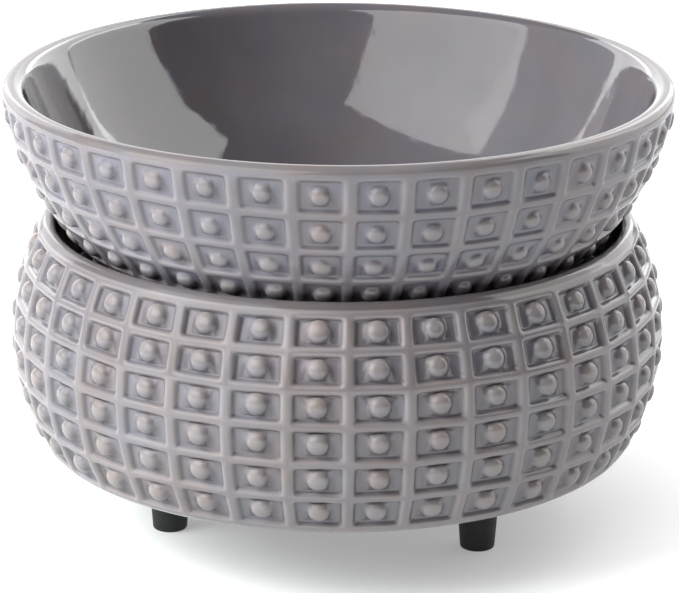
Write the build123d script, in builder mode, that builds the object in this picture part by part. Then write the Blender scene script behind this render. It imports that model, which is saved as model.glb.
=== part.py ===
import math
import os

from build123d import *

os.makedirs("parts", exist_ok=True)

# Wax melt warmer: a stoneware base on three rubber feet, with a stoneware dish nested in its mouth.
# Sizes are in millimetres. The origin is on the surface that the feet stand on, under the dish's centre.
# The front is towards -Y, and sections are drawn as (radius, height).

# Feet
foot_count = 3
foot_edge_distance = 10.9
rear_foot_angle = 81.3
foot_height = 15.0
foot_top_diameter = 10.0
foot_tip_diameter = 7.8
foot_tip_rounding = 0.6
foot_bore_depth = 7.0
foot_screw_diameter = 2.6
foot_screw_length = 16.0
foot_screw_head_diameter = 4.3
foot_screw_head_height = 1.6
foot_washer_diameter = 4.6
foot_washer_thickness = 0.5

# Bottom cover
cover_thickness = 3.0
cover_overlap = 4.0
cover_edge = 1.0
cover_boss_wall = 2.2
cover_boss_roof = 1.5
spigot_height = 3.0
spigot_wall = 2.0
vent_count = 18
vent_length = 9.0
vent_width = 2.0
vent_circle_radius = 24.0
seal_thickness = 0.8
seal_width = 2.5
cover_screw_diameter = 3.0
cover_screw_length = 10.0
cover_screw_head_diameter = 5.5
cover_screw_head_height = 1.7

# Cord bushing
bushing_angle = 111.3
bushing_edge_distance = 14.0
cord_bore_diameter = 6.6
bushing_wall = 1.7
bushing_flange_width = 1.5
bushing_flange_thickness = 1.5
bushing_barb_width = 0.6
bushing_barb_height = 2.0

# Base shell
base_height = 52.4
belly_radius = 74.5
belly_height = 26.3
barrel_curve = 49.2
base_wall = 4.2
base_lip_radius = 1.75
base_lip_blend_angle = 6.0
base_corner_radius = 3.0
base_opening_radius = 52.0
base_flange_thickness = 4.0
deck_height = 31.2
deck_thickness = 4.0
deck_opening_radius = 48.0

# Raised rings of the base, between the rows of its relief
base_rows = 6
base_row_growth = 1.03
base_ridge_width = 1.9
base_row_depth = 1.1
base_rows_top_margin = 2.3
base_rows_low_margin = 1.2

# Wax dish
dish_height = 49.8
dish_curve = 65.7
dish_wall = 4.4
dish_floor = 4.5
dish_overhang = 1.71
dish_nest_gap = 1.7
dish_bead_radius = 2.1
dish_blend_drop = 3.6
dish_blend_angle = -15.0
dish_bowl_rounding = 16.0
dish_foot_rounding = 4.0

# Raised rings of the dish
dish_rows = 5
dish_row_growth = 0.965
dish_ridge_width = 2.8
dish_row_depth = 0.9
dish_rows_top_drop = 3.0
dish_rows_low_margin = 16.0

# Warming plate and heater stack
gasket_thickness = 1.0
plate_thickness = 2.5
plate_overlap = 5.0
plate_edge = 0.6
stud_count = 3
stud_angle = 21.3
stud_diameter = 4.0
stud_socket_depth = 1.5
stud_edge_distance = 5.0
stack_clearance = 1.5
mica_thickness = 0.5
element_thickness = 0.6
element_inner_radius = 12.0
element_margin = 2.5
element_slot_width = 1.2
element_link_width = 2.4
element_slot_pairs = 15
pad_thickness = 4.0
clamp_thickness = 1.2
washer_thickness = 0.8
washer_diameter = 8.0
nut_height = 3.2
nut_width = 7.0
pillar_width = 7.0
pillar_thread_depth = 8.0
pin_diameter = 1.6
pin_spread = 10.0
pin_setback = 15.0
pin_hole_diameter = 4.0
pin_length = 12.0

# Thermal cut-off
cutoff_diameter = 4.0
cutoff_length = 11.0
cutoff_pin_diameter = 1.0
cutoff_pin_length = 3.0
cutoff_offset = 20.0
clip_thickness = 0.8
clip_width = 5.0
clip_tab_length = 6.0
clip_screw_diameter = 2.5
clip_screw_head_diameter = 4.5
clip_screw_head_height = 1.6

# Terminal block
plinth_height = 3.0
block_width = 20.0
block_length = 16.0
block_height = 10.0
block_bore_height = 4.5
pole_spacing = 10.0
insert_diameter = 4.6
insert_bore_diameter = 2.7
terminal_screw_diameter = 2.0
terminal_screw_spacing = 8.0
terminal_screw_head_diameter = 3.0
terminal_screw_head_height = 1.6
block_screw_diameter = 2.5
block_screw_head_diameter = 4.4
block_screw_head_height = 1.6
block_screw_bite = 4.5

# Inner leads
lead_diameter = 2.2
lead_reach = 6.0
lead_bend = 4.5
lead_front_gap = 10.0
lead_side_gap = 9.0
lead_back_turn = 12.0
lead_front_turn = 16.0
lead_drop = 8.0

# Clearances
screw_clearance = 0.05
hole_clearance = 0.3
piece_clearance = 0.2
contact_gap = 0.05
cut_overshoot = 1.0


# A point on a circle in the (radius, height) section
def polar(centre, radius, angle):
    turn = math.radians(angle)
    return (centre[0] + radius * math.cos(turn), centre[1] + radius * math.sin(turn))


# The angle at which a circle in the section passes a height
def angle_at(centre, radius, height):
    return math.degrees(math.asin((height - centre[1]) / radius))


# A place on the plan, from its distance to the axis and its angle
def on_plan(radius, angle):
    turn = math.radians(angle)
    return (radius * math.cos(turn), radius * math.sin(turn))


# Rows down an arc, as pairs of angles: the pitch grows by a fixed ratio from row to row
def relief_rows(curve, top_angle, low_angle, count, growth, ridge):
    span = curve * math.radians(top_angle - low_angle)
    first_pitch = (span + ridge) / sum(growth**row for row in range(count))
    rows = []
    start = 0.0
    for row in range(count):
        pitch = first_pitch * growth**row
        end = start + pitch - ridge
        rows.append((top_angle - math.degrees(start / curve), top_angle - math.degrees(end / curve)))
        start += pitch
    return rows


# Heights, from the floor up
cover_low = foot_height
cover_top = cover_low + cover_thickness
base_low = cover_top + seal_thickness
base_top = base_low + base_height
deck_top = base_low + deck_height
deck_low = deck_top - deck_thickness
flange_top = base_low + base_flange_thickness
plate_low = deck_top + gasket_thickness
plate_top = plate_low + plate_thickness
dish_low = plate_top
dish_floor_top = dish_low + dish_floor
dish_top = dish_low + dish_height
upper_mica_low = plate_low - mica_thickness
element_low = upper_mica_low - element_thickness
lower_mica_low = element_low - mica_thickness
pad_low = lower_mica_low - pad_thickness
clamp_low = pad_low - clamp_thickness
washer_low = clamp_low - washer_thickness
nut_low = washer_low - nut_height
stud_low = nut_low - pillar_thread_depth
plinth_top = cover_top + plinth_height
block_top = plinth_top + block_height
block_bore_z = plinth_top + block_bore_height
pin_low = element_low - pin_length

# Radii and places on the plan
cover_radius = base_opening_radius + cover_overlap
foot_circle_radius = base_opening_radius - foot_edge_distance
bushing_circle_radius = base_opening_radius - bushing_edge_distance
stack_radius = deck_opening_radius - stack_clearance
stud_circle_radius = stack_radius - stud_edge_distance
element_radius = stud_circle_radius - stud_diameter / 2 - element_margin
plate_radius = deck_opening_radius + plate_overlap
stud_hole_radius = stud_diameter / 2 + hole_clearance
foot_angles = [rear_foot_angle + 360 / foot_count * turn for turn in range(foot_count)]
foot_places = [on_plan(foot_circle_radius, angle) for angle in foot_angles]
stud_places = [on_plan(stud_circle_radius, stud_angle + 360 / stud_count * turn) for turn in range(stud_count)]
bushing_place = on_plan(bushing_circle_radius, bushing_angle)
bushing_neck_radius = cord_bore_diameter / 2 + bushing_wall
pin_places = [(-pin_spread / 2, -pin_setback), (pin_spread / 2, -pin_setback)]
pole_places = [-pole_spacing / 2, pole_spacing / 2]

# Base section: one large arc for the barrel, a full round for the lip, a small arc for the bottom corner
barrel_centre = (belly_radius - barrel_curve, base_low + belly_height)
inner_curve = barrel_curve - base_wall
lip_angle = angle_at(barrel_centre, barrel_curve - base_lip_radius, base_top - base_lip_radius)
lip_centre = polar(barrel_centre, barrel_curve - base_lip_radius, lip_angle)
lip_inner = polar(lip_centre, base_lip_radius, lip_angle + 180)
corner_reach = barrel_curve - base_corner_radius
corner_angle = angle_at(barrel_centre, corner_reach, base_low + base_corner_radius)
corner_centre = polar(barrel_centre, corner_reach, corner_angle)
mouth_radius = lip_inner[0]

base_rows_top = lip_angle - math.degrees(base_rows_top_margin / barrel_curve)
base_rows_low = corner_angle + math.degrees(base_rows_low_margin / barrel_curve)
base_bands = relief_rows(
    barrel_curve, base_rows_top, base_rows_low, base_rows, base_row_growth, base_ridge_width
)

# Dish section: the wall's arc passes the base's mouth with the nest gap and ends under the rim's bead
wall_top = (belly_radius + dish_overhang, dish_top - dish_bead_radius)
wall_nest = (mouth_radius - dish_nest_gap, base_top)
wall_chord = math.dist(wall_top, wall_nest)
wall_across = ((wall_top[0] - wall_nest[0]) / wall_chord, (wall_top[1] - wall_nest[1]) / wall_chord)
wall_sink = math.sqrt(dish_curve**2 - (wall_chord / 2) ** 2)
dish_centre = (
    (wall_top[0] + wall_nest[0]) / 2 - wall_across[1] * wall_sink,
    (wall_top[1] + wall_nest[1]) / 2 + wall_across[0] * wall_sink,
)
bowl_curve = dish_curve - dish_wall
bead_reach = bowl_curve + dish_bead_radius
bead_angle = angle_at(dish_centre, bead_reach, dish_top - dish_bead_radius)
bead_centre = polar(dish_centre, bead_reach, bead_angle)
blend_angle = angle_at(dish_centre, dish_curve, dish_top - dish_blend_drop)
blend_start = polar(dish_centre, dish_curve, blend_angle)
blend_end = polar(bead_centre, dish_bead_radius, dish_blend_angle)
bowl_reach = bowl_curve - dish_bowl_rounding
bowl_angle = angle_at(dish_centre, bowl_reach, dish_floor_top + dish_bowl_rounding)
bowl_corner = polar(dish_centre, bowl_reach, bowl_angle)
foot_reach = dish_curve - dish_foot_rounding
foot_corner_angle = angle_at(dish_centre, foot_reach, dish_low + dish_foot_rounding)
foot_corner = polar(dish_centre, foot_reach, foot_corner_angle)

dish_rows_top = angle_at(dish_centre, dish_curve, dish_top - dish_rows_top_drop)
dish_rows_low = foot_corner_angle + math.degrees(dish_rows_low_margin / dish_curve)
dish_bands = relief_rows(
    dish_curve, dish_rows_top, dish_rows_low, dish_rows, dish_row_growth, dish_ridge_width
)


# Sunk bands round a wall, which leave raised rings between them
def sink_bands(bands, centre, curve, depth):
    floor = curve - depth
    outside = curve + cut_overshoot
    for top, low in bands:
        middle = (top + low) / 2
        with BuildSketch(Plane.XZ) as band:
            with BuildLine():
                Line(polar(centre, floor, low), polar(centre, outside, low))
                ThreePointArc(
                    polar(centre, outside, low), polar(centre, outside, middle), polar(centre, outside, top)
                )
                Line(polar(centre, outside, top), polar(centre, floor, top))
                ThreePointArc(polar(centre, floor, top), polar(centre, floor, middle), polar(centre, floor, low))
            make_face()
        revolve(band.sketch, axis=Axis.Z, mode=Mode.SUBTRACT)


# A flat round piece with the studs' holes through it
def drilled_disc(radius, low, thickness, hole_radius):
    with BuildSketch(Plane.XY.offset(low)) as disc:
        Circle(radius)
        with Locations(*stud_places):
            Circle(hole_radius, mode=Mode.SUBTRACT)
    extrude(disc.sketch, amount=thickness)


# Holes for the heater's two connecting pins
def cut_pin_holes(low, thickness):
    bars(pin_places, pin_hole_diameter / 2, low, thickness, mode=Mode.SUBTRACT)


# Round bars, all of one height, at several places
def bars(places, radius, low, height, mode=Mode.ADD):
    with BuildSketch(Plane.XY.offset(low)) as ends:
        with Locations(*places):
            Circle(radius)
    extrude(ends.sketch, amount=height, mode=mode)


# Flat rings, all of one height, at several places
def rings(places, outer_radius, inner_radius, low, height):
    bars(places, outer_radius, low, height)
    bars(places, inner_radius, low, height, mode=Mode.SUBTRACT)


# Hexagonal bars, measured across their flats
def hex_bars(places, width, low, height):
    with BuildSketch(Plane.XY.offset(low)) as ends:
        with Locations(*places):
            RegularPolygon(width / 2, 6, major_radius=False)
    extrude(ends.sketch, amount=height)


# An insulated lead along straight runs with rounded corners
def lead(points):
    with BuildLine() as route:
        FilletPolyline(*points, radius=lead_bend)
    with BuildSketch(Plane(origin=route.line @ 0, z_dir=route.line % 0)) as section:
        Circle(lead_diameter / 2)
    sweep(section.sketch, path=route.line)
    length = sum(edge.length for edge in route.edges())
    print("lead length", round(length, 1), "volume by length", round(length * math.pi * lead_diameter**2 / 4, 2))


# Name a finished piece and write it
def keep(piece, name):
    piece.part.label = name
    export_step(piece.part, f"parts/{name}.step")


# Base shell: barrel wall with a rolled lip, an inner deck for the warming plate and a flange at the bottom
inner_lip = polar(barrel_centre, inner_curve, lip_angle - base_lip_blend_angle)
inner_deck_angle = angle_at(barrel_centre, inner_curve, deck_top)
inner_below_angle = angle_at(barrel_centre, inner_curve, deck_low)
inner_flange_angle = angle_at(barrel_centre, inner_curve, flange_top)
barrel_low = polar(barrel_centre, barrel_curve, corner_angle)
barrel_top = polar(barrel_centre, barrel_curve, lip_angle)
inner_deck = polar(barrel_centre, inner_curve, inner_deck_angle)
inner_below = polar(barrel_centre, inner_curve, inner_below_angle)
inner_flange = polar(barrel_centre, inner_curve, inner_flange_angle)
upper_middle = (lip_angle - base_lip_blend_angle + inner_deck_angle) / 2
lower_middle = (inner_below_angle + inner_flange_angle) / 2

with BuildPart() as base_shell:
    with BuildSketch(Plane.XZ):
        with BuildLine():
            ThreePointArc(
                (corner_centre[0], base_low),
                polar(corner_centre, base_corner_radius, (corner_angle - 90) / 2),
                barrel_low,
            )
            ThreePointArc(barrel_low, polar(barrel_centre, barrel_curve, (corner_angle + lip_angle) / 2), barrel_top)
            ThreePointArc(barrel_top, polar(lip_centre, base_lip_radius, lip_angle + 90), lip_inner)
            Line(lip_inner, inner_lip)
            ThreePointArc(inner_lip, polar(barrel_centre, inner_curve, upper_middle), inner_deck)
            Polyline(
                inner_deck, (deck_opening_radius, deck_top), (deck_opening_radius, deck_low), inner_below
            )
            ThreePointArc(inner_below, polar(barrel_centre, inner_curve, lower_middle), inner_flange)
            Polyline(
                inner_flange,
                (base_opening_radius, flange_top),
                (base_opening_radius, base_low),
                (corner_centre[0], base_low),
            )
        make_face()
    revolve(axis=Axis.Z)
    sink_bands(base_bands, barrel_centre, barrel_curve, base_row_depth)
keep(base_shell, "base_shell")

# Wax dish: flared wall with a bead at the rim, a rounded bowl and a flat foot
bowl_top = polar(bead_centre, dish_bead_radius, bead_angle + 180)
bowl_low = polar(dish_centre, bowl_curve, bowl_angle)
dish_wall_low = polar(dish_centre, dish_curve, foot_corner_angle)

with BuildPart() as wax_dish:
    with BuildSketch(Plane.XZ):
        with BuildLine():
            Line((0, dish_low), (foot_corner[0], dish_low))
            ThreePointArc(
                (foot_corner[0], dish_low),
                polar(foot_corner, dish_foot_rounding, (foot_corner_angle - 90) / 2),
                dish_wall_low,
            )
            ThreePointArc(
                dish_wall_low, polar(dish_centre, dish_curve, (foot_corner_angle + blend_angle) / 2), blend_start
            )
            TangentArc(blend_start, blend_end, tangent=polar((0, 0), 1, blend_angle + 90))
            ThreePointArc(
                blend_end,
                polar(bead_centre, dish_bead_radius, (dish_blend_angle + bead_angle + 180) / 2),
                bowl_top,
            )
            ThreePointArc(bowl_top, polar(dish_centre, bowl_curve, (bead_angle + bowl_angle) / 2), bowl_low)
            ThreePointArc(
                bowl_low,
                polar(bowl_corner, dish_bowl_rounding, (bowl_angle - 90) / 2),
                (bowl_corner[0], dish_floor_top),
            )
            Polyline((bowl_corner[0], dish_floor_top), (0, dish_floor_top), (0, dish_low))
        make_face()
    revolve(axis=Axis.Z)
    sink_bands(dish_bands, dish_centre, dish_curve, dish_row_depth)
keep(wax_dish, "wax_dish")

# Warming plate, with a blind socket for each stud
with BuildPart() as warming_plate:
    bars([(0, 0)], plate_radius, plate_low, plate_thickness)
    chamfer(warming_plate.edges().group_by(Axis.Z)[-1], length=plate_edge)
    bars(stud_places, stud_diameter / 2 + screw_clearance, plate_low, stud_socket_depth, mode=Mode.SUBTRACT)
keep(warming_plate, "warming_plate")

with BuildPart() as plate_gasket:
    rings(
        [(0, 0)],
        plate_radius - piece_clearance,
        deck_opening_radius + piece_clearance,
        deck_top,
        gasket_thickness,
    )
keep(plate_gasket, "plate_gasket")

with BuildPart() as plate_studs:
    bars(stud_places, stud_diameter / 2, stud_low, plate_low + stud_socket_depth - stud_low)
keep(plate_studs, "plate_studs")

# Heater stack, hung under the plate by the studs
with BuildPart() as upper_mica_sheet:
    drilled_disc(stack_radius, upper_mica_low, mica_thickness, stud_hole_radius)
keep(upper_mica_sheet, "upper_mica_sheet")

# Heating element: a ring of foil, slit from inside and outside in turn so that the current zigzags round it
element_slot_step = 360 / element_slot_pairs
element_slot_length = element_radius - element_inner_radius - element_link_width
with BuildPart() as heating_element:
    with BuildSketch(Plane.XY.offset(element_low)):
        Circle(element_radius)
        Circle(element_inner_radius, mode=Mode.SUBTRACT)
        for shift, middle in (
            (0.0, element_inner_radius + element_slot_length / 2 - cut_overshoot / 2),
            (0.5, element_radius - element_slot_length / 2 + cut_overshoot / 2),
        ):
            with PolarLocations(middle, element_slot_pairs, start_angle=-90 + shift * element_slot_step):
                Rectangle(element_slot_length + cut_overshoot, element_slot_width, mode=Mode.SUBTRACT)
        with Locations((0, -(element_inner_radius + element_radius) / 2)):
            Rectangle(element_slot_width, element_radius, mode=Mode.SUBTRACT)
    extrude(amount=element_thickness)
    bars(pin_places, pin_diameter / 2, pin_low, pin_length)
keep(heating_element, "heating_element")

with BuildPart() as lower_mica_sheet:
    drilled_disc(stack_radius, lower_mica_low, mica_thickness, stud_hole_radius)
    cut_pin_holes(lower_mica_low, mica_thickness)
keep(lower_mica_sheet, "lower_mica_sheet")

with BuildPart() as insulation_pad:
    drilled_disc(stack_radius, pad_low, pad_thickness, stud_hole_radius)
    cut_pin_holes(pad_low, pad_thickness)
keep(insulation_pad, "insulation_pad")

# Thermal cut-off, lying along Y against the clamp plate, held by a strap with one screw
cutoff_z = clamp_low - cutoff_diameter / 2 - contact_gap
clip_inner_radius = cutoff_diameter / 2 + contact_gap
clip_outer_radius = clip_inner_radius + clip_thickness
clip_rise = clamp_low - cutoff_z
clip_screw_x = -cutoff_offset - clip_outer_radius - clip_tab_length / 2
clip_screw_place = [(clip_screw_x, 0)]

with BuildPart() as clamp_plate:
    drilled_disc(stack_radius, clamp_low, clamp_thickness, stud_hole_radius)
    cut_pin_holes(clamp_low, clamp_thickness)
    clip_hole_radius = clip_screw_diameter / 2 + screw_clearance
    bars(clip_screw_place, clip_hole_radius, clamp_low, clamp_thickness, mode=Mode.SUBTRACT)
keep(clamp_plate, "clamp_plate")

with BuildPart() as stud_washers:
    rings(stud_places, washer_diameter / 2, stud_hole_radius, washer_low, washer_thickness)
keep(stud_washers, "stud_washers")

with BuildPart() as stud_nuts:
    hex_bars(stud_places, nut_width, nut_low, nut_height)
    bars(stud_places, stud_diameter / 2 + screw_clearance, nut_low, nut_height, mode=Mode.SUBTRACT)
keep(stud_nuts, "stud_nuts")

cover_screw_head_low = cover_low + hole_clearance
cover_screw_seat = cover_screw_head_low + cover_screw_head_height
cover_screw_tip = cover_screw_seat + cover_screw_length
with BuildPart() as support_pillars:
    hex_bars(stud_places, pillar_width, cover_top, nut_low - cover_top)
    stud_hole_depth = pillar_thread_depth + piece_clearance
    pillar_stud_low = nut_low - stud_hole_depth
    bars(stud_places, stud_diameter / 2 + screw_clearance, pillar_stud_low, stud_hole_depth, mode=Mode.SUBTRACT)
    pillar_screw_depth = cover_screw_tip + piece_clearance - cover_top
    pillar_screw_radius = cover_screw_diameter / 2 + screw_clearance
    bars(stud_places, pillar_screw_radius, cover_top, pillar_screw_depth, mode=Mode.SUBTRACT)
keep(support_pillars, "support_pillars")

cutoff_start = Plane(origin=(-cutoff_offset, cutoff_length / 2, cutoff_z), z_dir=(0, -1, 0))
cutoff_pin_start = cutoff_start.offset(-cutoff_pin_length)
with BuildPart() as thermal_cutoff:
    with BuildSketch(cutoff_start):
        Circle(cutoff_diameter / 2)
    extrude(amount=cutoff_length)
    with BuildSketch(cutoff_pin_start):
        Circle(cutoff_pin_diameter / 2)
    extrude(amount=cutoff_length + 2 * cutoff_pin_length)
keep(thermal_cutoff, "thermal_cutoff")

with BuildPart() as cutoff_clip:
    with BuildSketch(Plane.XZ.offset(-clip_width / 2)):
        with Locations((-cutoff_offset, cutoff_z)):
            Circle(clip_outer_radius)
            Rectangle(2 * clip_outer_radius, clip_rise, align=(Align.CENTER, Align.MIN))
            Circle(clip_inner_radius, mode=Mode.SUBTRACT)
            Rectangle(2 * clip_inner_radius, clip_rise, align=(Align.CENTER, Align.MIN), mode=Mode.SUBTRACT)
        with Locations((-cutoff_offset, clamp_low)):
            Rectangle(2 * clip_outer_radius, clip_rise, align=(Align.CENTER, Align.MIN), mode=Mode.SUBTRACT)
        with Locations((clip_screw_x, clamp_low - clip_thickness / 2)):
            Rectangle(clip_tab_length, clip_thickness)
    extrude(amount=clip_width)
    bars(clip_screw_place, clip_hole_radius, clamp_low - clip_thickness, clip_thickness, mode=Mode.SUBTRACT)
keep(cutoff_clip, "cutoff_clip")

with BuildPart() as clip_screw:
    clip_screw_seat = clamp_low - clip_thickness
    bars(
        clip_screw_place,
        clip_screw_head_diameter / 2,
        clip_screw_seat - clip_screw_head_height,
        clip_screw_head_height,
    )
    bars(clip_screw_place, clip_screw_diameter / 2, clip_screw_seat, clip_thickness + clamp_thickness)
keep(clip_screw, "clip_screw")

# Bottom cover: a disc with a spigot that centres it in the base, bosses for the feet and a plinth for the block
foot_screw_seat = foot_bore_depth - foot_washer_thickness
foot_screw_tip = foot_screw_seat + foot_screw_length
foot_pilot_radius = foot_screw_diameter / 2 + screw_clearance
foot_boss_radius = foot_screw_diameter / 2 + cover_boss_wall
foot_boss_height = foot_screw_tip + piece_clearance + cover_boss_roof - cover_top
spigot_radius = base_opening_radius - hole_clearance
cover_recess_radius = cover_screw_head_diameter / 2 + hole_clearance
bushing_hole_radius = bushing_neck_radius + piece_clearance
block_pilot_radius = block_screw_diameter / 2 + screw_clearance
block_pilot_depth = block_screw_bite + piece_clearance

with BuildPart() as bottom_cover:
    bars([(0, 0)], cover_radius, cover_low, cover_thickness)
    chamfer(bottom_cover.edges().group_by(Axis.Z)[0], length=cover_edge)
    with BuildSketch(Plane.XY.offset(cover_top)):
        Circle(spigot_radius)
        Circle(spigot_radius - spigot_wall, mode=Mode.SUBTRACT)
    extrude(amount=spigot_height)
    with BuildSketch(Plane.XY.offset(cover_top)):
        Rectangle(block_width, block_length)
    extrude(amount=plinth_height)
    bars(foot_places, foot_boss_radius, cover_top, foot_boss_height)
    foot_pilot_depth = foot_screw_tip + piece_clearance - cover_low
    bars(foot_places, foot_pilot_radius, cover_low, foot_pilot_depth, mode=Mode.SUBTRACT)
    cover_hole_radius = cover_screw_diameter / 2 + hole_clearance
    bars(stud_places, cover_hole_radius, cover_low, cover_thickness, mode=Mode.SUBTRACT)
    bars(stud_places, cover_recess_radius, cover_low, cover_screw_seat - cover_low, mode=Mode.SUBTRACT)
    bars([bushing_place], bushing_hole_radius, cover_low, cover_thickness, mode=Mode.SUBTRACT)
    bars([(0, 0)], block_pilot_radius, plinth_top - block_pilot_depth, block_pilot_depth, mode=Mode.SUBTRACT)
    with BuildSketch(Plane.XY.offset(cover_low)):
        with PolarLocations(vent_circle_radius, vent_count):
            SlotOverall(vent_length, vent_width)
    extrude(amount=cover_thickness, mode=Mode.SUBTRACT)
keep(bottom_cover, "bottom_cover")

with BuildPart() as cover_seal:
    seal_inner_radius = base_opening_radius + piece_clearance
    rings([(0, 0)], seal_inner_radius + seal_width, seal_inner_radius, cover_top, seal_thickness)
keep(cover_seal, "cover_seal")

with BuildPart() as cover_screws:
    bars(stud_places, cover_screw_head_diameter / 2, cover_screw_head_low, cover_screw_head_height)
    bars(stud_places, cover_screw_diameter / 2, cover_screw_seat, cover_screw_length)
keep(cover_screws, "cover_screws")

# Feet: one tapered foot, set down at three places
with BuildPart() as foot:
    with BuildSketch(Plane.XZ):
        with BuildLine():
            Polyline(
                (foot_pilot_radius + hole_clearance, foot_height),
                (foot_pilot_radius + hole_clearance, foot_bore_depth),
                (foot_washer_diameter / 2 + piece_clearance, foot_bore_depth),
                (foot_washer_diameter / 2 + piece_clearance, 0),
                (foot_tip_diameter / 2, 0),
                (foot_top_diameter / 2, foot_height),
                close=True,
            )
        make_face()
    revolve(axis=Axis.Z)
    tip_edges = foot.edges().filter_by(GeomType.CIRCLE).group_by(Axis.Z)[0]
    fillet(tip_edges.sort_by(SortBy.RADIUS)[-1], radius=foot_tip_rounding)

for foot_name, foot_place in zip(("foot_rear", "foot_left", "foot_right"), foot_places):
    with BuildPart() as placed_foot:
        with Locations(foot_place):
            add(foot.part)
    keep(placed_foot, foot_name)

with BuildPart() as foot_washers:
    rings(
        foot_places,
        foot_washer_diameter / 2,
        foot_pilot_radius + hole_clearance,
        foot_screw_seat,
        foot_washer_thickness,
    )
keep(foot_washers, "foot_washers")

with BuildPart() as foot_screws:
    bars(
        foot_places,
        foot_screw_head_diameter / 2,
        foot_screw_seat - foot_screw_head_height,
        foot_screw_head_height,
    )
    bars(foot_places, foot_screw_diameter / 2, foot_screw_seat, foot_screw_length)
keep(foot_screws, "foot_screws")

# Cord bushing: a flange under the cover, a neck through it and a barb that snaps out above it
bushing_low = cover_low - bushing_flange_thickness
bushing_height = bushing_flange_thickness + cover_thickness + bushing_barb_height
with BuildPart() as cord_bushing:
    bars([bushing_place], bushing_neck_radius + bushing_flange_width, bushing_low, bushing_flange_thickness)
    bars([bushing_place], bushing_neck_radius, bushing_low, bushing_height)
    barb_radius = bushing_hole_radius + bushing_barb_width
    bars([bushing_place], barb_radius, cover_top + contact_gap, bushing_barb_height - contact_gap)
    bars([bushing_place], cord_bore_diameter / 2, bushing_low, bushing_height, mode=Mode.SUBTRACT)
keep(cord_bushing, "cord_bushing")

# Terminal block with a brass insert for each pole
screw_rows = (-terminal_screw_spacing / 2, terminal_screw_spacing / 2)
terminal_places = [(x, y) for x in pole_places for y in screw_rows]
block_screw_seat = block_top - block_screw_head_height
insert_radius = insert_diameter / 2
block_back = Plane(origin=(0, block_length / 2, block_bore_z), x_dir=(1, 0, 0), z_dir=(0, -1, 0))
terminal_screw_low = block_bore_z + lead_diameter / 2 + contact_gap
terminal_screw_seat = block_bore_z + insert_radius + contact_gap

with BuildPart() as terminal_block:
    with BuildSketch(Plane.XY.offset(plinth_top)):
        Rectangle(block_width, block_length)
    extrude(amount=block_height)
    chamfer(terminal_block.edges().group_by(Axis.Z)[-1], length=plate_edge)
    with BuildSketch(block_back):
        with Locations(*[(x, 0) for x in pole_places]):
            Circle(insert_radius + screw_clearance)
    extrude(amount=block_length, mode=Mode.SUBTRACT)
    well_radius = terminal_screw_head_diameter / 2 + piece_clearance
    bars(terminal_places, well_radius, block_bore_z, block_top - block_bore_z, mode=Mode.SUBTRACT)
    bars([(0, 0)], block_screw_diameter / 2 + hole_clearance, plinth_top, block_height, mode=Mode.SUBTRACT)
    block_well_radius = block_screw_head_diameter / 2 + hole_clearance
    bars([(0, 0)], block_well_radius, block_screw_seat, block_screw_head_height, mode=Mode.SUBTRACT)
keep(terminal_block, "terminal_block")

with BuildPart() as terminal_inserts:
    with BuildSketch(block_back):
        with Locations(*[(x, 0) for x in pole_places]):
            Circle(insert_radius)
            Circle(insert_bore_diameter / 2, mode=Mode.SUBTRACT)
    extrude(amount=block_length)
    thread_radius = terminal_screw_diameter / 2 + screw_clearance
    bars(terminal_places, thread_radius, block_bore_z, insert_diameter, mode=Mode.SUBTRACT)
keep(terminal_inserts, "terminal_inserts")

with BuildPart() as terminal_screws:
    bars(terminal_places, terminal_screw_diameter / 2, terminal_screw_low, terminal_screw_seat - terminal_screw_low)
    bars(terminal_places, terminal_screw_head_diameter / 2, terminal_screw_seat, terminal_screw_head_height)
keep(terminal_screws, "terminal_screws")

with BuildPart() as block_screw:
    bars([(0, 0)], block_screw_head_diameter / 2, block_screw_seat, block_screw_head_height)
    block_screw_low = plinth_top - block_screw_bite
    bars([(0, 0)], block_screw_diameter / 2, block_screw_low, block_screw_seat - block_screw_low)
keep(block_screw, "block_screw")

# Inner leads, from the block's front to the heater's pins, the live one by way of the cut-off
lead_end_y = -block_length / 2 + lead_reach
live_x, neutral_x = pole_places
live_pin, neutral_pin = pin_places
cutoff_front = (-cutoff_offset, -cutoff_length / 2 - cutoff_pin_length, cutoff_z)
cutoff_back = (-cutoff_offset, cutoff_length / 2 + cutoff_pin_length, cutoff_z)

with BuildPart() as neutral_lead:
    lead([(neutral_x, lead_end_y, block_bore_z), (*neutral_pin, block_bore_z), (*neutral_pin, pin_low)])
keep(neutral_lead, "neutral_lead")

live_front_y = -block_length / 2 - lead_front_gap
live_side_x = -cutoff_offset - lead_side_gap
live_back_y = cutoff_back[1] + lead_back_turn
with BuildPart() as live_lead:
    lead(
        [
            (live_x, lead_end_y, block_bore_z),
            (live_x, live_front_y, block_bore_z),
            (live_side_x, live_front_y, block_bore_z),
            (live_side_x, live_back_y, cutoff_z),
            (-cutoff_offset, live_back_y, cutoff_z),
            cutoff_back,
        ]
    )
keep(live_lead, "live_lead")

cutoff_turn_y = cutoff_front[1] - lead_front_turn
cutoff_drop_z = pin_low - lead_drop
with BuildPart() as cutoff_lead:
    lead(
        [
            cutoff_front,
            (-cutoff_offset, cutoff_turn_y, cutoff_z),
            (live_pin[0], cutoff_turn_y, cutoff_drop_z),
            (*live_pin, cutoff_drop_z),
            (*live_pin, pin_low),
        ]
    )
keep(cutoff_lead, "cutoff_lead")

print("rim radius", round(bead_centre[0] + dish_bead_radius, 2), "height", dish_top)
print("dish foot radius", round(foot_corner[0], 2), "mouth radius", round(mouth_radius, 2))
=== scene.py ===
import math
import random

import bmesh
import bpy
from mathutils import Matrix, Vector, noise


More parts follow.
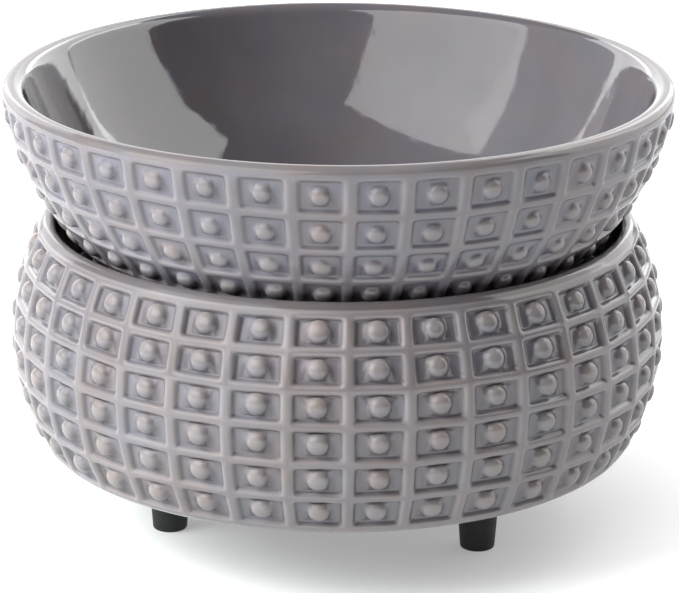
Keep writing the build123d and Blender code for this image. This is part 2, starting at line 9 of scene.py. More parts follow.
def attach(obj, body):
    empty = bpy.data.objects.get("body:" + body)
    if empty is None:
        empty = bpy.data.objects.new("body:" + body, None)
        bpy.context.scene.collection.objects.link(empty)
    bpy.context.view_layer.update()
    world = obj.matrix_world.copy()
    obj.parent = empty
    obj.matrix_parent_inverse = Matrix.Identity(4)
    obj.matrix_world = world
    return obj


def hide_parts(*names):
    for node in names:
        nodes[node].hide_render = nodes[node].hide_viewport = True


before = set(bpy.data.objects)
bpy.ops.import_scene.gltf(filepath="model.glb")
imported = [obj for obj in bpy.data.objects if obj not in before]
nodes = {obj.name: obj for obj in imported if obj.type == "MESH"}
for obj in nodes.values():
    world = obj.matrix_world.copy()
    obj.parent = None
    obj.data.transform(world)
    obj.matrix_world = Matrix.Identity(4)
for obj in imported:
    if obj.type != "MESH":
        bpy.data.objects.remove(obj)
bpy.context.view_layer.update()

scene = bpy.context.scene
mm = 0.001


# Small tools

def newObject(name, bm):
    mesh = bpy.data.meshes.new(name)
    bm.to_mesh(mesh)
    bm.free()
    mesh.shade_smooth()
    obj = bpy.data.objects.new(name, mesh)
    scene.collection.objects.link(obj)
    return obj


def finishShell(name, bm):
    bmesh.ops.recalc_face_normals(bm, faces=bm.faces[:])
    bmesh.ops.scale(bm, vec=(mm, mm, mm), verts=bm.verts[:])
    obj = newObject(name, bm)
    mod = obj.modifiers.new("subdivision", "SUBSURF")
    mod.levels = 1
    mod.render_levels = 1
    return obj


# Section, as (radius, height) points in millimetres

def bend(centre, radius, start, end, count):
    turns = [math.radians(start + (end - start) * i / (count - 1)) for i in range(count)]
    return [(centre[0] + radius * math.cos(t), centre[1] + radius * math.sin(t)) for t in turns]


def flat(height, start, end, count):
    return [(start + (end - start) * i / (count - 1), height) for i in range(count)]


# Carving: a flat sheet of cells, x along the wall, y up it from the first cell's top, z out of it

carving = {
    "domeShift": 0.8,  # how far a dome strays from its cell's middle, against the grid's wobble
    "domeSize": (0.95, 1.05),
    "crownHeight": (0.85, 1.1),
    "ringInset": 0.02,  # starts each ring of a dome, before it is rounded
    "strayRound": 9,  # waves of the wall on its way round, and up it
    "strayUp": 0.12,
    "strayOut": 0.4,  # share of the waves that goes in and out
    "leanFade": 12,  # how soon the lean takes hold away from the sheet's ends
    "seam": 0.01,
}
glazeStops = {"corner": 0.0, "floor": 0.2, "ridge": 0.45, "crown": 0.75, "lip": 1.0}  # on the glaze's ramp


def carvedSheet(cut):
    rng = random.Random(cut["seed"])

    def strayPair():
        return rng.uniform(-1, 1), rng.uniform(-1, 1)

    columns, rows = cut["columns"], cut["rows"]
    across = 2 * math.pi * cut["sheetRadius"] / columns
    lines = [cut["firstLine"]]
    for row in range(rows):
        lines.append(lines[-1] - cut["firstPitch"] * cut["growth"] ** row)
    lines[0] = cut["topRidge"]  # upper edge of the sheet, where the plain lip starts

    # one face to a cell, its corners a little off the true grid
    sheet = bmesh.new()
    bmesh.ops.create_grid(sheet, x_segments=columns, y_segments=rows, size=0.5)
    relief = sheet.verts.layers.float.new("relief")  # each point's glaze tone, by how proud it is, with painted shade in the hollows and painted highlight on edges and dome heads
    off = [[strayPair() for column in range(columns)] for row in range(rows + 1)]
    for v in sheet.verts:
        column = round((v.co.x + 0.5) * columns)
        row = round((0.5 - v.co.y) * rows)
        sideways, upwards = off[row][column % columns]
        if row in (0, rows):
            upwards = 0
        x = column * across + sideways * cut["wobble"]
        y = lines[row] + upwards * cut["wobble"]
        v.co = (x, y, cut["crown"])

    # two more points on each side keep the pockets square
    count = len(sheet.verts)
    bmesh.ops.bisect_edges(sheet, edges=sheet.edges[:], cuts=2)
    corners = set(sheet.verts[:count])
    cells = sheet.faces[:]
    for v in sheet.verts:
        if v not in corners:
            corner = [e.other_vert(v) for e in v.link_edges if e.other_vert(v) in corners][0]
            v.co = corner.co + (v.co - corner.co).normalized() * cut["cornerSpan"]

    # ridge top, ridge side and floor
    for v in sheet.verts:
        v[relief] = glazeStops["ridge"]
    # the edge ring's tone is partly painted highlight, the pocket foot's tone partly painted shade
    for step, (width, height, tone) in enumerate(cut["pocket"]):
        bmesh.ops.inset_individual(sheet, faces=cells, thickness=width, use_even_offset=True)
        for cell in cells:
            middle = cell.calc_center_median()
            for v in cell.verts:
                if step == 0:  # upright ridges are the wider ones
                    v.co.x = middle.x + (v.co.x - middle.x) * cut["narrow"]
                v.co.z = height
                v[relief] = tone

    # dome: rings of twelve points, then a crown
    middles = {}
    for cell in cells:
        shift = Vector((*strayPair(), 0)) * cut["wobble"] * carving["domeShift"]
        middle = cell.calc_center_median() + shift
        row = sum(middle.y < line for line in lines[1:])
        middle.y += cut["domeLift"] - cut["domeSag"] * row
        middles[cell] = (middle, rng.uniform(*carving["domeSize"]))
    for radius, height, tone in cut["dome"]:
        bmesh.ops.inset_individual(sheet, faces=cells, thickness=carving["ringInset"], use_even_offset=True)
        for cell in cells:
            middle, size = middles[cell]
            stretch = cut["sheetRadius"] / radiusAt(cut, middle.y)
            ringOut(cell.verts[:], middle, radius * size, height, stretch)
            for v in cell.verts:  # lighter above and darker below: painted light from above, and glaze thin above and pooled below as it runs
                v[relief] = min(glazeStops["crown"], tone + cut["runAndTopLight"] * (v.co.y - middle.y) / radius)
    # dome heads take the crown tone, partly a painted highlight
    for v in bmesh.ops.poke(sheet, faces=cells)["verts"]:
        v.co.z = cut["domeTop"] * rng.uniform(*carving["crownHeight"])
        v[relief] = glazeStops["crown"]
    return sheet, across, lines


def ringOut(verts, middle, radius, height, stretch):
    wide = max(abs(v.co.x - middle.x) for v in verts)
    tall = max(abs(v.co.y - middle.y) for v in verts)
    upRight = [(v.co.x - middle.x) / wide + (v.co.y - middle.y) / tall for v in verts]
    first = upRight.index(max(upRight))
    for step in range(len(verts)):
        turn = math.radians(45 + 360 / len(verts) * step)  # the upper right corner comes first
        place = Vector((math.cos(turn) * stretch, math.sin(turn), 0)) * radius
        verts[(first + step) % len(verts)].co = Vector((middle.x, middle.y, height)) + place


def radiusAt(cut, y):
    return cut["centre"][0] + cut["curve"] * math.cos(math.radians(cut["top"]) + y / cut["curve"])


def wrapSheet(sheet, across, lines, cut):
    noise.seed_set(cut["seed"])  # otherwise the clock seeds it
    tuckFrom, tuckOver, tuck = cut["tuck"]
    seed = Vector((cut["seed"], 0, 0))
    for v in sheet.verts:
        turn = math.radians(cut["firstColumn"] + (v.co.x / across - 0.5) * 360 / cut["columns"])
        around = Vector((math.sin(turn), -math.cos(turn), 0))
        place = around * carving["strayRound"] + Vector((0, 0, v.co.y * carving["strayUp"])) + seed
        stray = noise.noise_vector(place)
        down = (lines[0] - v.co.y) / (lines[0] - lines[-1])
        lean = cut["lean"] * math.sin(turn) * min(1, carving["leanFade"] * down * (1 - down))
        rise = math.radians(cut["top"]) + (v.co.y + stray.x * cut["stray"] - lean) / cut["curve"]
        reach = cut["curve"] + v.co.z + stray.y * cut["stray"] * carving["strayOut"]
        height = cut["centre"][1] + reach * math.sin(rise)
        radius = cut["centre"][0] + reach * math.cos(rise)
        radius += tuck * min(1, max(0, height - tuckFrom) / tuckOver) ** 2
        radius = min(radius, cut["widest"])
        turn += stray.z * cut["stray"] / radius
        v.co = (radius * math.sin(turn), -radius * math.cos(turn), height)
    bmesh.ops.remove_doubles(sheet, verts=sheet.verts[:], dist=carving["seam"])


# Plain rings of the section, each an extrusion of the last loop

def openLoop(bm, upper):
    edges = [e for e in bm.edges if e.is_boundary]
    heights = [e.verts[0].co.z for e in edges]
    middle = (min(heights) + max(heights)) / 2
    return [e for e in edges if (e.verts[0].co.z > middle) == upper]


def followSection(bm, loop, section):
    relief = bm.verts.layers.float["relief"]
    for radius, height in section:
        made = bmesh.ops.extrude_edge_only(bm, edges=loop)["geom"]
        ring = [g for g in made if isinstance(g, bmesh.types.BMVert)]
        fresh = set(ring)
        loop = [g for g in made if isinstance(g, bmesh.types.BMEdge) and fresh.issuperset(g.verts)]
        ring.sort(key=lambda v: math.atan2(v.co.y, v.co.x))
        step = 2 * math.pi / len(ring)
        start = sum(math.atan2(v.co.y, v.co.x) - i * step for i, v in enumerate(ring)) / len(ring)
        for i, v in enumerate(ring):  # spacing evens out on the way
            turn = start + i * step
            v.co = (radius * math.cos(turn), radius * math.sin(turn), height)
            v[relief] = glazeStops["lip"]
    return loop


def closeLoop(bm, loop):
    face = bmesh.ops.edgeloop_fill(bm, edges=loop)["faces"]
    bmesh.ops.poke(bm, faces=face)


# Base shell: a turn is (from, to, points) in degrees on its arc, a flat is (from, to, points) in radii

base = {
    "centre": (25.3, 45.1),  # of the wall's arc
    "curve": 49.2,
    "inner": 45.0,
    "lipCentre": (66.03, 69.45),
    "lip": 1.72,
    "lipTurn": (20, 210, 8),
    "wellTurn": (24, 8, 5),  # inner wall above the deck
    "deck": (46.0, 50.0),  # heights of its underside and top
    "deckOpening": 48.0,
    "deckFlat": (69.0, 50.0, 3),
    "ceilingFlat": (50.0, 69.6, 3),
    "chamberTurn": (-1, -27.5, 5),  # inner wall below the deck
    "flange": (18.8, 22.8),  # heights of the inturned ring at the bottom
    "opening": 52.0,
    "flangeFlat": (62.8, 54.0, 2),
    "undersideFlat": (54.0, 62.0, 2),
    "cornerCentre": (65.19, 21.8),
    "corner": 2.98,
    "cornerTurn": (-90, -52, 3),
    "round": 1.0,
    "columns": 35,
    "rows": 6,
    "firstColumn": -3.22,  # degrees from the front to the middle of a column
    "sheetRadius": 73.0,  # where the sheet wraps without stretch
    "widest": 75.3,
    "top": 28.197,  # degrees on the wall's arc at the sheet's y of 0
    "tuck": (66.5, 3.5, 0.3),  # from this height, over this rise, out by this much
    "topRidge": 0.95,
    "firstPitch": 7.872,
    "growth": 1.03,  # of the pitch from row to row
    "firstLine": 0.65,
    "crown": 0.1,  # height of the ridges' middles
    "runAndTopLight": 0.4,  # how far the glaze tone shifts from a dome's foot to its head: lighter at the head as painted light from above, and as glaze runs
    "cornerSpan": 2.0,
    "narrow": 0.945,  # width of a pocket against a true inset
    "pocket": [(0.85, 0.03, 0.75), (0.45, -1.1, 0.0), (0.5, -1.14, 0.2)],  # inset, height, glaze tone; the edge ring is lighter as painted highlight and thin glaze, the pocket's foot darker as painted shade and pooled glaze
    "dome": [(2.75, -1.1, 0.05), (2.5, -0.4, 0.5), (1.7, 0.38, 0.72)],  # radius, height, glaze tone; the dark foot ring is painted shade and pooled glaze, the light head partly painted highlight
    "domeTop": 0.62,
    "domeLift": 0.3,
    "domeSag": 0.0,  # drop of the domes from row to row
    "wobble": 0.16,  # of the grid's corners
    "stray": 0.12,  # of the whole wall
    "lean": 0.0,
    "seed": 11,
}


def edgeRing(opening, low, high):  # rounded edge of a shelf, from its top to its underside
    r = base["round"]
    return bend((opening + r, high - r), r, 90, 180, 3) + bend((opening + r, low + r), r, 180, 270, 3)


def baseSection():
    deckLow, deckTop = base["deck"]
    low, flangeTop = base["flange"]
    section = bend(base["lipCentre"], base["lip"], *base["lipTurn"])
    section += bend(base["centre"], base["inner"], *base["wellTurn"])
    section += flat(deckTop, *base["deckFlat"])
    section += edgeRing(base["deckOpening"], deckLow, deckTop)
    section += flat(deckLow, *base["ceilingFlat"])
    section += bend(base["centre"], base["inner"], *base["chamberTurn"])
    section += flat(flangeTop, *base["flangeFlat"])
    section += edgeRing(base["opening"], low, flangeTop)
    section += flat(low, *base["undersideFlat"])
    return section + bend(base["cornerCentre"], base["corner"], *base["cornerTurn"])


def makeBase():
    shell, across, lines = carvedSheet(base)
    wrapSheet(shell, across, lines, base)
    low = openLoop(shell, False)
    last = followSection(shell, openLoop(shell, True), baseSection())
    bmesh.ops.bridge_loops(shell, edges=last + low)
    return finishShell("carved_base", shell)


# Wax dish

dish = {
    "centre": (11.424, 112.121),
    "curve": 65.7,
    "beadCentre": (73.876, 101.2),  # outer half of the rim
    "bead": 2.08,
    "beadTurn": (22, 75, 3),
    "rollCentre": (73.66, 100.59),  # inner half of the rim
    "roll": 2.69,
    "rollTurn": (92, 160, 5),
    "flare": 103.6,  # flatter arc of the bowl's upper wall, which runs on into the inner one
    "flareTurn": (-17.8, -28.0, 6),
    "innerCentre": (9.63, 111.67),
    "inner": 61.0,
    "innerTurn": (-31.0, -57, 6),
    "bowlCorner": (34.6, 74.0),
    "bowl": 16.0,
    "bowlTurn": (-63, -90, 4),
    "bowlFlat": (26.0, 5.0, 3),
    "hemTurn": (-52, -61, 4),  # plain wall below the carving
    "footCorner": (40.12, 57.5),
    "foot": 4.0,
    "footTurn": (-65, -90, 3),
    "footFlat": (30.0, 5.0, 3),
    "floor": (53.5, 58.0),  # heights of its underside and top
    "insideFrom": 0.4,  # from the wall's middle to where the bowl's glaze starts
    "insideFade": 1.2,
    "columns": 38,
    "rows": 5,
    "firstColumn": -2.9,
    "sheetRadius": 69.0,
    "widest": 75.85,
    "top": -10.365,
    "tuck": (97.5, 3.7, -0.27),
    "topRidge": 0.95,
    "firstPitch": 9.939,
    "growth": 0.965,
    "firstLine": 1.4,
    "crown": 0.08,
    # the same shift: painted light from above on the domes, and glaze that runs
    "runAndTopLight": 0.4,
    "cornerSpan": 2.3,
    "narrow": 0.95,
    # as in the base: light edge ring partly painted highlight, dark pocket foot and dome foot ring partly
    # painted shade
    "pocket": [(0.84, 0.03, 0.75), (0.5, -0.78, 0.0), (0.5, -0.83, 0.2)],
    "dome": [(2.5, -0.8, 0.05), (2.25, -0.2, 0.5), (1.55, 0.42, 0.72)],
    "domeTop": 0.62,
    "domeLift": 0.0,
    "domeSag": 0.2,
    "wobble": 0.16,
    "stray": 0.12,
    "lean": 0.9,
    "seed": 23,
}


def bowlSection():
    section = bend(dish["beadCentre"], dish["bead"], *dish["beadTurn"])
    section += bend(dish["rollCentre"], dish["roll"], *dish["rollTurn"])
    joint = dish["flareTurn"][1]  # both arcs have one tangent here
    flareCentre = bend(dish["innerCentre"], dish["inner"] - dish["flare"], joint, joint, 2)[0]
    section += bend(flareCentre, dish["flare"], *dish["flareTurn"])
    section += bend(dish["innerCentre"], dish["inner"], *dish["innerTurn"])
    section += bend(dish["bowlCorner"], dish["bowl"], *dish["bowlTurn"])
    return section + flat(dish["floor"][1], *dish["bowlFlat"])


def footSection():
    section = bend(dish["centre"], dish["curve"], *dish["hemTurn"])
    section += bend(dish["footCorner"], dish["foot"], *dish["footTurn"])
    return section + flat(dish["floor"][0], *dish["footFlat"])


def makeDish():
    bowl, across, lines = carvedSheet(dish)
    wrapSheet(bowl, across, lines, dish)
    low = openLoop(bowl, False)
    closeLoop(bowl, followSection(bowl, openLoop(bowl, True), bowlSection()))
    closeLoop(bowl, followSection(bowl, low, footSection()))
    inside = bowl.verts.layers.float.new("inside")
    middle = (dish["inner"] + dish["curve"]) / 2 - dish["insideFrom"]
    for v in bowl.verts:
        if v.co.z > sum(dish["floor"]) / 2:
            reach = math.dist((math.hypot(v.co.x, v.co.y), v.co.z), dish["centre"])
            v[inside] = min(1, max(0, (middle - reach) / dish["insideFade"]))
    return finishShell("carved_dish", bowl)


carvedBase = makeBase()
print("base carved", len(carvedBase.data.polygons))
carvedDish = makeDish()
print("dish carved", len(carvedDish.data.polygons))

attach(carvedBase, "base")
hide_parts("base_shell")
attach(carvedDish, "dish")
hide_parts("wax_dish")


# Finishes

grainSpan = (0.25, 0.75)  # where most of a noise's values lie


def startMaterial(name, sockets):
    mat = bpy.data.materials.new(name)
    mat.use_nodes = True
    shader = mat.node_tree.nodes["Principled BSDF"]
    for key, value in sockets.items():
        shader.inputs[key].default_value = value
    return mat, shader


def addNode(mat, kind, **settings):
    node = mat.node_tree.nodes.new(kind)
    for key, value in settings.items():
        setattr(node, key, value)
    return node


def link(mat, a, b):
    mat.node_tree.links.new(a, b)


def objectPlace(mat, stretch=None):
    place = addNode(mat, "ShaderNodeTexCoord").outputs["Object"]
    if stretch is None:
        return place
    turn = addNode(mat, "ShaderNodeMapping")
    turn.inputs["Scale"].default_value = stretch
    link(mat, place, turn.inputs["Vector"])
    return turn.outputs["Vector"]


def noiseOn(mat, scale, detail=3, stretch=None):
    tex = addNode(mat, "ShaderNodeTexNoise")
    tex.inputs["Scale"].default_value = scale
    tex.inputs["Detail"].default_value = detail
    link(mat, objectPlace(mat, stretch), tex.inputs["Vector"])
    return tex.outputs["Fac"]


def ringsOn(mat, scale, waver=0.6):  # turning marks round the upright axis
    tex = addNode(mat, "ShaderNodeTexWave", wave_type="RINGS", rings_direction="Z")
    tex.inputs["Scale"].default_value = scale
    tex.inputs["Distortion"].default_value = waver
    link(mat, objectPlace(mat), tex.inputs["Vector"])
    return tex.outputs["Fac"]


def flakesOn(mat, scale):
    tex = addNode(mat, "ShaderNodeTexVoronoi")
    tex.inputs["Scale"].default_value = scale
    link(mat, objectPlace(mat), tex.inputs["Vector"])
    return tex.outputs["Distance"]


def ramp(mat, value, stops):
    node = addNode(mat, "ShaderNodeValToRGB")
    bar = node.color_ramp.elements
    while len(bar) < len(stops):
        bar.new(0.5)
    for stop, (at, colour) in zip(bar, stops):
        stop.position = at
        stop.color = (*colour, 1)
    link(mat, value, node.inputs["Fac"])
    return node.outputs["Color"]


def spread(mat, value, low, high):
    node = addNode(mat, "ShaderNodeMapRange")
    node.inputs["From Min"].default_value = grainSpan[0]
    node.inputs["From Max"].default_value = grainSpan[1]
    node.inputs["To Min"].default_value = low
    node.inputs["To Max"].default_value = high
    link(mat, value, node.inputs["Value"])
    return node.outputs["Result"]


def bump(mat, shader, value, distance, strength):
    node = addNode(mat, "ShaderNodeBump")
    node.inputs["Distance"].default_value = distance
    node.inputs["Strength"].default_value = strength
    link(mat, value, node.inputs["Height"])
    link(mat, node.outputs["Normal"], shader.inputs["Normal"])


glazes = {
    "base": {
        "corner": (0.139, 0.127, 0.141),  # pooled in the corners of the pockets, and darker there as painted shade in the recesses
        "floor": (0.175, 0.16, 0.18),
        "ridge": (0.205, 0.183, 0.199),
        "crown": (0.255, 0.224, 0.227),  # thin and warm on edges and domes, and lighter there as painted highlight
        # warm thin glaze on the plain lip and inner walls, made darker as painted shade under the dish's
        # overhang
        "lip": (0.131, 0.112, 0.118),
    },
    "dish": {
        # corners partly painted shade and crown partly painted highlight, as in the base
        "corner": (0.149, 0.135, 0.157),
        "floor": (0.172, 0.157, 0.189),
        "ridge": (0.19, 0.172, 0.196),
        "crown": (0.239, 0.21, 0.218),
        "lip": (0.192, 0.166, 0.17),
        "inside": (0.122, 0.107, 0.12),  # smooth and darker in the bowl
    },
}
glazing = {
    "sockets": {"IOR": 1.65, "Coat IOR": 1.6, "Coat Roughness": 0.03},
    "rough": 0.14,
    "bowlRough": 0.08,
    "bowlCoat": 0.82,
    "hueGrain": (90, 4),  # scale and detail of the drift from cool to warm
    "hueSpan": (0.35, 0.65),
    "warmth": (1.04, 1.0, 0.96),
    "cloudScale": 60,
    "clouds": (0.9, 1.1),
    "rippleGrain": (160, 2),
    "ripple": (0.0004, 0.25),  # height in metres and strength
}


def makeGlaze(obj, name, tones):
    mat, shader = startMaterial(name, glazing["sockets"])
    relief = addNode(mat, "ShaderNodeAttribute", attribute_name="relief").outputs["Fac"]
    tone = ramp(mat, relief, [(at, tones[key]) for key, at in glazeStops.items()])
    if "inside" in tones:
        bowl = addNode(mat, "ShaderNodeAttribute", attribute_name="inside").outputs["Fac"]
        mix = addNode(mat, "ShaderNodeMix", data_type="RGBA")
        link(mat, bowl, mix.inputs["Factor"])
        link(mat, tone, mix.inputs[6])  # 6, 7 and 2 are the colour sockets
        mix.inputs[7].default_value = (*tones["inside"], 1)
        tone = mix.outputs[2]
        link(mat, spread(mat, bowl, glazing["rough"], glazing["bowlRough"]), shader.inputs["Roughness"])
        link(mat, spread(mat, bowl, 0.0, glazing["bowlCoat"]), shader.inputs["Coat Weight"])
    else:
        shader.inputs["Roughness"].default_value = glazing["rough"]
    drift = addNode(mat, "ShaderNodeVectorMath", operation="MULTIPLY")
    cool = [2 - value for value in glazing["warmth"]]
    hues = list(zip(glazing["hueSpan"], (cool, glazing["warmth"])))
    link(mat, tone, drift.inputs[0])
    link(mat, ramp(mat, noiseOn(mat, *glazing["hueGrain"]), hues), drift.inputs[1])
    cloud = addNode(mat, "ShaderNodeVectorMath", operation="SCALE")
    link(mat, drift.outputs["Vector"], cloud.inputs[0])
    link(mat, spread(mat, noiseOn(mat, glazing["cloudScale"]), *glazing["clouds"]), cloud.inputs["Scale"])
    link(mat, cloud.outputs["Vector"], shader.inputs["Base Color"])
    bump(mat, shader, noiseOn(mat, *glazing["rippleGrain"]), *glazing["ripple"])
    obj.data.materials.append(mat)


makeGlaze(carvedBase, "base_glaze_grey", glazes["base"])
makeGlaze(carvedDish, "dish_glaze_grey", glazes["dish"])

# every other piece: its grain, the two tones the grain runs between, and how rough it is
finishes = [
    {
        "name": "black_rubber",
        "nodes": ["foot_left", "foot_right", "foot_rear"],
        "grain": (noiseOn, 700),
        "tones": [(0.006, 0.006, 0.007), (0.014, 0.014, 0.015)],
        "rough": (0.5, 0.68),
        "bump": (0.0002, 0.3),
    },
    {
        "name": "red_silicone",
        "nodes": ["plate_gasket", "cover_seal"],
        "grain": (noiseOn, 400),
        "tones": [(0.25, 0.075, 0.06), (0.38, 0.12, 0.1)],
        "rough": (0.45, 0.6),
        "bump": (0.0002, 0.2),
    },
    {
        "name": "turned_aluminium",
        "nodes": ["warming_plate"],
        "grain": (ringsOn, 240),
        "tones": [(0.3, 0.3, 0.31), (0.5, 0.5, 0.51)],
        "rough": (0.4, 0.58),
        "bump": (0.00015, 0.3),
        "metal": 0.75,
    },
    {
        "name": "mica_sheet",
        "nodes": ["upper_mica_sheet", "lower_mica_sheet"],
        "grain": (flakesOn, 260),
        "tones": [(0.62, 0.56, 0.45), (0.4, 0.36, 0.28)],
        "rough": (0.25, 0.45),
        "bump": (0.0001, 0.3),
        "metal": 0.3,
    },
    {
        "name": "heater_foil",
        "nodes": ["heating_element"],
        "grain": (noiseOn, 900, 2, (1, 0.05, 1)),
        "tones": [(0.36, 0.35, 0.33), (0.54, 0.53, 0.5)],
        "rough": (0.3, 0.45),
        "bump": (0.00005, 0.2),
        "metal": 1.0,
    },
    {
        "name": "ceramic_fibre",
        "nodes": ["insulation_pad"],
        "grain": (noiseOn, 650, 8),
        "tones": [(0.74, 0.73, 0.7), (0.92, 0.91, 0.88)],
        "rough": (0.85, 0.98),
        "bump": (0.0008, 0.6),
    },
    {
        "name": "rolled_steel",
        "nodes": ["clamp_plate", "cutoff_clip"],
        "grain": (noiseOn, 500, 3, (0.06, 1, 1)),
        "tones": [(0.5, 0.5, 0.5), (0.68, 0.68, 0.67)],
        "rough": (0.3, 0.45),
        "bump": (0.00005, 0.2),
        "metal": 1.0,
    },
    {
        "name": "zinc_plate",
        "nodes": [
            "plate_studs", "stud_washers", "stud_nuts", "clip_screw", "cover_screws",
            "foot_screws", "foot_washers", "block_screw", "terminal_screws",
        ],
        "grain": (noiseOn, 450),
        "tones": [(0.56, 0.56, 0.59), (0.76, 0.76, 0.77)],
        "rough": (0.24, 0.38),
        "bump": (0.00008, 0.2),
        "metal": 1.0,
    },
    {
        "name": "turned_brass",
        "nodes": ["support_pillars", "terminal_inserts"],
        "grain": (noiseOn, 700, 2, (1, 1, 12)),
        "tones": [(0.62, 0.46, 0.19), (0.82, 0.64, 0.31)],
        "rough": (0.22, 0.36),
        "bump": (0.00006, 0.2),
        "metal": 1.0,
    },
    {
        "name": "drawn_case",
        "nodes": ["thermal_cutoff"],
        "grain": (noiseOn, 900, 2, (1, 0.08, 1)),
        "tones": [(0.6, 0.6, 0.6), (0.8, 0.8, 0.8)],
        "rough": (0.25, 0.4),
        "bump": (0.00005, 0.2),
        "metal": 1.0,
    },
    {
        "name": "pale_nylon",
        "nodes": ["terminal_block"],
        "grain": (noiseOn, 350),
        "tones": [(0.79, 0.78, 0.73), (0.9, 0.89, 0.86)],
        "rough": (0.38, 0.5),
        "bump": (0.0001, 0.15),
    },
    {
        "name": "brown_sleeve",
        "nodes": ["live_lead", "cutoff_lead"],
        "grain": (noiseOn, 800, 2),
        "tones": [(0.17, 0.07, 0.028), (0.29, 0.13, 0.055)],
        "rough": (0.45, 0.6),
        "bump": (0.00015, 0.3),
    },
    {
        "name": "blue_sleeve",
        "nodes": ["neutral_lead"],
        "grain": (noiseOn, 800, 2),
        "tones": [(0.035, 0.1, 0.36), (0.065, 0.18, 0.54)],
        "rough": (0.45, 0.6),
        "bump": (0.00015, 0.3),
    },
    {
        "name": "moulded_cover",
        "nodes": ["bottom_cover"],
        "grain": (noiseOn, 1100, 4),
        "tones": [(0.018, 0.018, 0.02), (0.033, 0.033, 0.035)],
        "rough": (0.45, 0.6),
        "bump": (0.00015, 0.35),
    },
    {
        "name": "bushing_nylon",
        "nodes": ["cord_bushing"],
        "grain": (noiseOn, 500),
        "tones": [(0.014, 0.014, 0.014), (0.027, 0.027, 0.027)],
        "rough": (0.32, 0.45),
        "bump": (0.0001, 0.15),
    },
]


def makeFinish(spec):
    mat, shader = startMaterial(spec["name"], {"Metallic": spec.get("metal", 0.0)})
    grainOn, *settings = spec["grain"]
    grain = grainOn(mat, *settings)
    tone = ramp(mat, grain, list(zip(grainSpan, spec["tones"])))
    link(mat, tone, shader.inputs["Base Color"])
    link(mat, spread(mat, grain, *spec["rough"]), shader.inputs["Roughness"])
    bump(mat, shader, grain, *spec["bump"])
    for name in spec["nodes"]:  # CAD pieces keep their meshes
        for slot in nodes[name].material_slots:
            slot.link = "OBJECT"
            slot.material = mat


for spec in finishes:
    makeFinish(spec)
print("finishes", len(glazes) + len(finishes))


# Floor, light and camera

floor = {
    "half": 8,  # metres from the middle to an edge
    "sockets": {"Roughness": 0.9, "Specular IOR Level": 0.1},
    "grainScale": 3,
    "grainSpan": (0.3, 0.7),
    "tones": [(0.71, 0.71, 0.71), (0.74, 0.74, 0.74)],
    "lift": 0.31,  # white added where the shadow falls, and in the glaze's mirror image of the floor
    "whiteLift": 1.0,  # and further out
    "shadowReach": 0.06,  # metres from the middle to the lift's end
    "whiteReach": 0.15,  # and to where all is white
}


def makeFloor():
    bm = bmesh.new()
    bmesh.ops.create_grid(bm, x_segments=1, y_segments=1, size=floor["half"])
    obj = newObject("floor", bm)
    mat, shader = startMaterial("pale_floor", floor["sockets"])
    tone = ramp(mat, noiseOn(mat, floor["grainScale"]), list(zip(floor["grainSpan"], floor["tones"])))
    link(mat, tone, shader.inputs["Base Color"])
    shader.inputs["Emission Color"].default_value = (1, 1, 1, 1)
    fade = addNode(mat, "ShaderNodeTexGradient", gradient_type="SPHERICAL")
    link(mat, objectPlace(mat, [1 / floor["whiteReach"]] * 3), fade.inputs["Vector"])
    glow = addNode(mat, "ShaderNodeMapRange")
    glow.inputs["From Max"].default_value = 1 - floor["shadowReach"] / floor["whiteReach"]
    glow.inputs["To Min"].default_value = floor["whiteLift"]
    glow.inputs["To Max"].default_value = floor["lift"]
    link(mat, fade.outputs["Fac"], glow.inputs["Value"])
    path = addNode(mat, "ShaderNodeLightPath")
    seen = addNode(mat, "ShaderNodeMath", operation="MULTIPLY")
    link(mat, path.outputs["Is Camera Ray"], seen.inputs[0])
    link(mat, glow.outputs["Result"], seen.inputs[1])
    mirrored = addNode(mat, "ShaderNodeMath", operation="MULTIPLY")
    link(mat, path.outputs["Is Glossy Ray"], mirrored.inputs[0])
    mirrored.inputs[1].default_value = floor["lift"]
    either = addNode(mat, "ShaderNodeMath", operation="MAXIMUM")
    link(mat, seen.outputs[0], either.inputs[0])
    link(mat, mirrored.outputs[0], either.inputs[1])
    link(mat, either.outputs[0], shader.inputs["Emission Strength"])
    obj.data.materials.append(mat)


# compass bearing (0 behind, 90 right, 180 in front), height angle, width and height of the panel, radiance
lamps = [
    {"name": "window", "bearing": -133, "rise": 33, "size": (1.6, 1.3), "bright": 1.65},
    {"name": "left_soft", "bearing": -109, "rise": 34, "size": (1.2, 0.7), "bright": 13.2},
    {"name": "left_wall", "bearing": -75, "rise": 25, "size": (1.5, 1.3), "bright": 0.3},
    {"name": "left_back", "bearing": -37, "rise": 20, "size": (0.85, 1.0), "bright": 1.8},
    {"name": "right_wall", "bearing": 78, "rise": 28, "size": (1.1, 1.5), "bright": 1.9},
    {"name": "right_back", "bearing": 38, "rise": 28, "size": (1.0, 1.4), "bright": 2.35},
    {"name": "back_wall", "bearing": 0, "rise": 20, "size": (1.4, 1.0), "bright": 1.6},
]
lampTints = {"left_soft": (0.94, 1, 0.99), "right_wall": (0.99, 1, 0.98)}  # the others are white
fillLamps = ["left_soft"]  # not mirrored in the glaze
lampDistance = 1.4
lampAim = Vector((0, 0, 0.07))


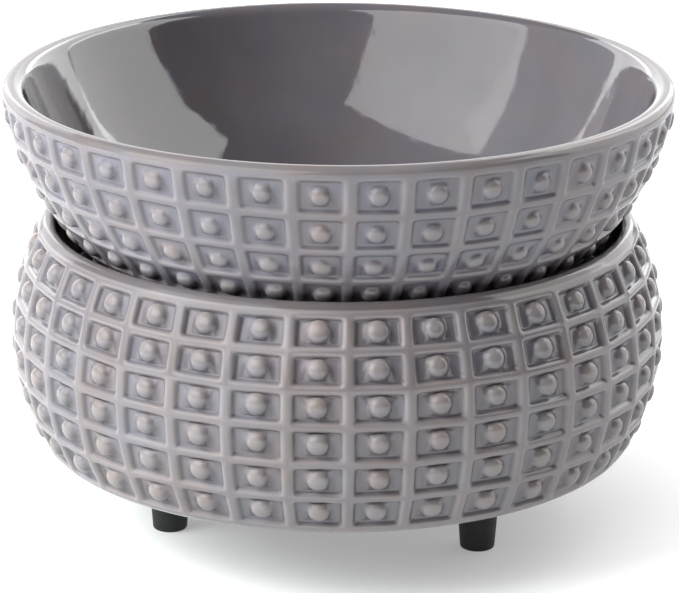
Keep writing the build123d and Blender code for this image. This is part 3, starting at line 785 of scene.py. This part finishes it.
def makeLamp(spec):
    light = bpy.data.lights.new(spec["name"], "AREA")
    light.shape = "RECTANGLE"
    light.size, light.size_y = spec["size"]
    light.energy = math.pi * light.size * light.size_y * spec["bright"]
    light.color = lampTints.get(spec["name"], (1, 1, 1))
    obj = bpy.data.objects.new(spec["name"], light)
    bearing, rise = math.radians(spec["bearing"]), math.radians(spec["rise"])
    away = Vector((math.sin(bearing) * math.cos(rise), math.cos(bearing) * math.cos(rise), math.sin(rise)))
    obj.visible_glossy = spec["name"] not in fillLamps
    obj.location = lampAim + away * lampDistance
    obj.rotation_euler = (-away).to_track_quat("-Z", "Y").to_euler()
    scene.collection.objects.link(obj)


roomLight = 0.03  # from all round, while the camera sees white


def makeWorld():
    world = bpy.data.worlds.new("studio")
    world.use_nodes = True
    tree = world.node_tree
    room = tree.nodes["Background"]
    room.inputs["Color"].default_value = (1, 1, 1, 1)
    room.inputs["Strength"].default_value = roomLight
    white = tree.nodes.new("ShaderNodeBackground")
    white.inputs["Color"].default_value = (1, 1, 1, 1)
    path = tree.nodes.new("ShaderNodeLightPath")
    mix = tree.nodes.new("ShaderNodeMixShader")
    tree.links.new(path.outputs["Is Camera Ray"], mix.inputs["Fac"])
    tree.links.new(room.outputs[0], mix.inputs[1])
    tree.links.new(white.outputs[0], mix.inputs[2])
    tree.links.new(mix.outputs[0], tree.nodes["World Output"].inputs["Surface"])
    scene.world = world


view = {
    "place": (0, -0.7945, 0.3063),
    "pitch": 17.80,
    "yaw": 0.03,
    "roll": 0.35,
    "lens": 192.27,
    "sensor": 36,
    "clip": 0.05,
}


def makeCamera():
    data = bpy.data.cameras.new("camera")
    data.sensor_fit = "HORIZONTAL"
    data.sensor_width = view["sensor"]
    data.lens = view["lens"]
    data.clip_start = view["clip"]
    obj = bpy.data.objects.new("camera", data)
    yaw = Matrix.Rotation(math.radians(-view["yaw"]), 4, "Z")
    pitch = Matrix.Rotation(math.radians(90 - view["pitch"]), 4, "X")
    roll = Matrix.Rotation(math.radians(view["roll"]), 4, "Z")
    obj.matrix_world = Matrix.Translation(view["place"]) @ (yaw @ pitch @ roll)
    scene.collection.objects.link(obj)
    scene.camera = obj


makeFloor()
for spec in lamps:
    makeLamp(spec)
makeWorld()
makeCamera()
scene.view_settings.view_transform = "Standard"
print("stage set")
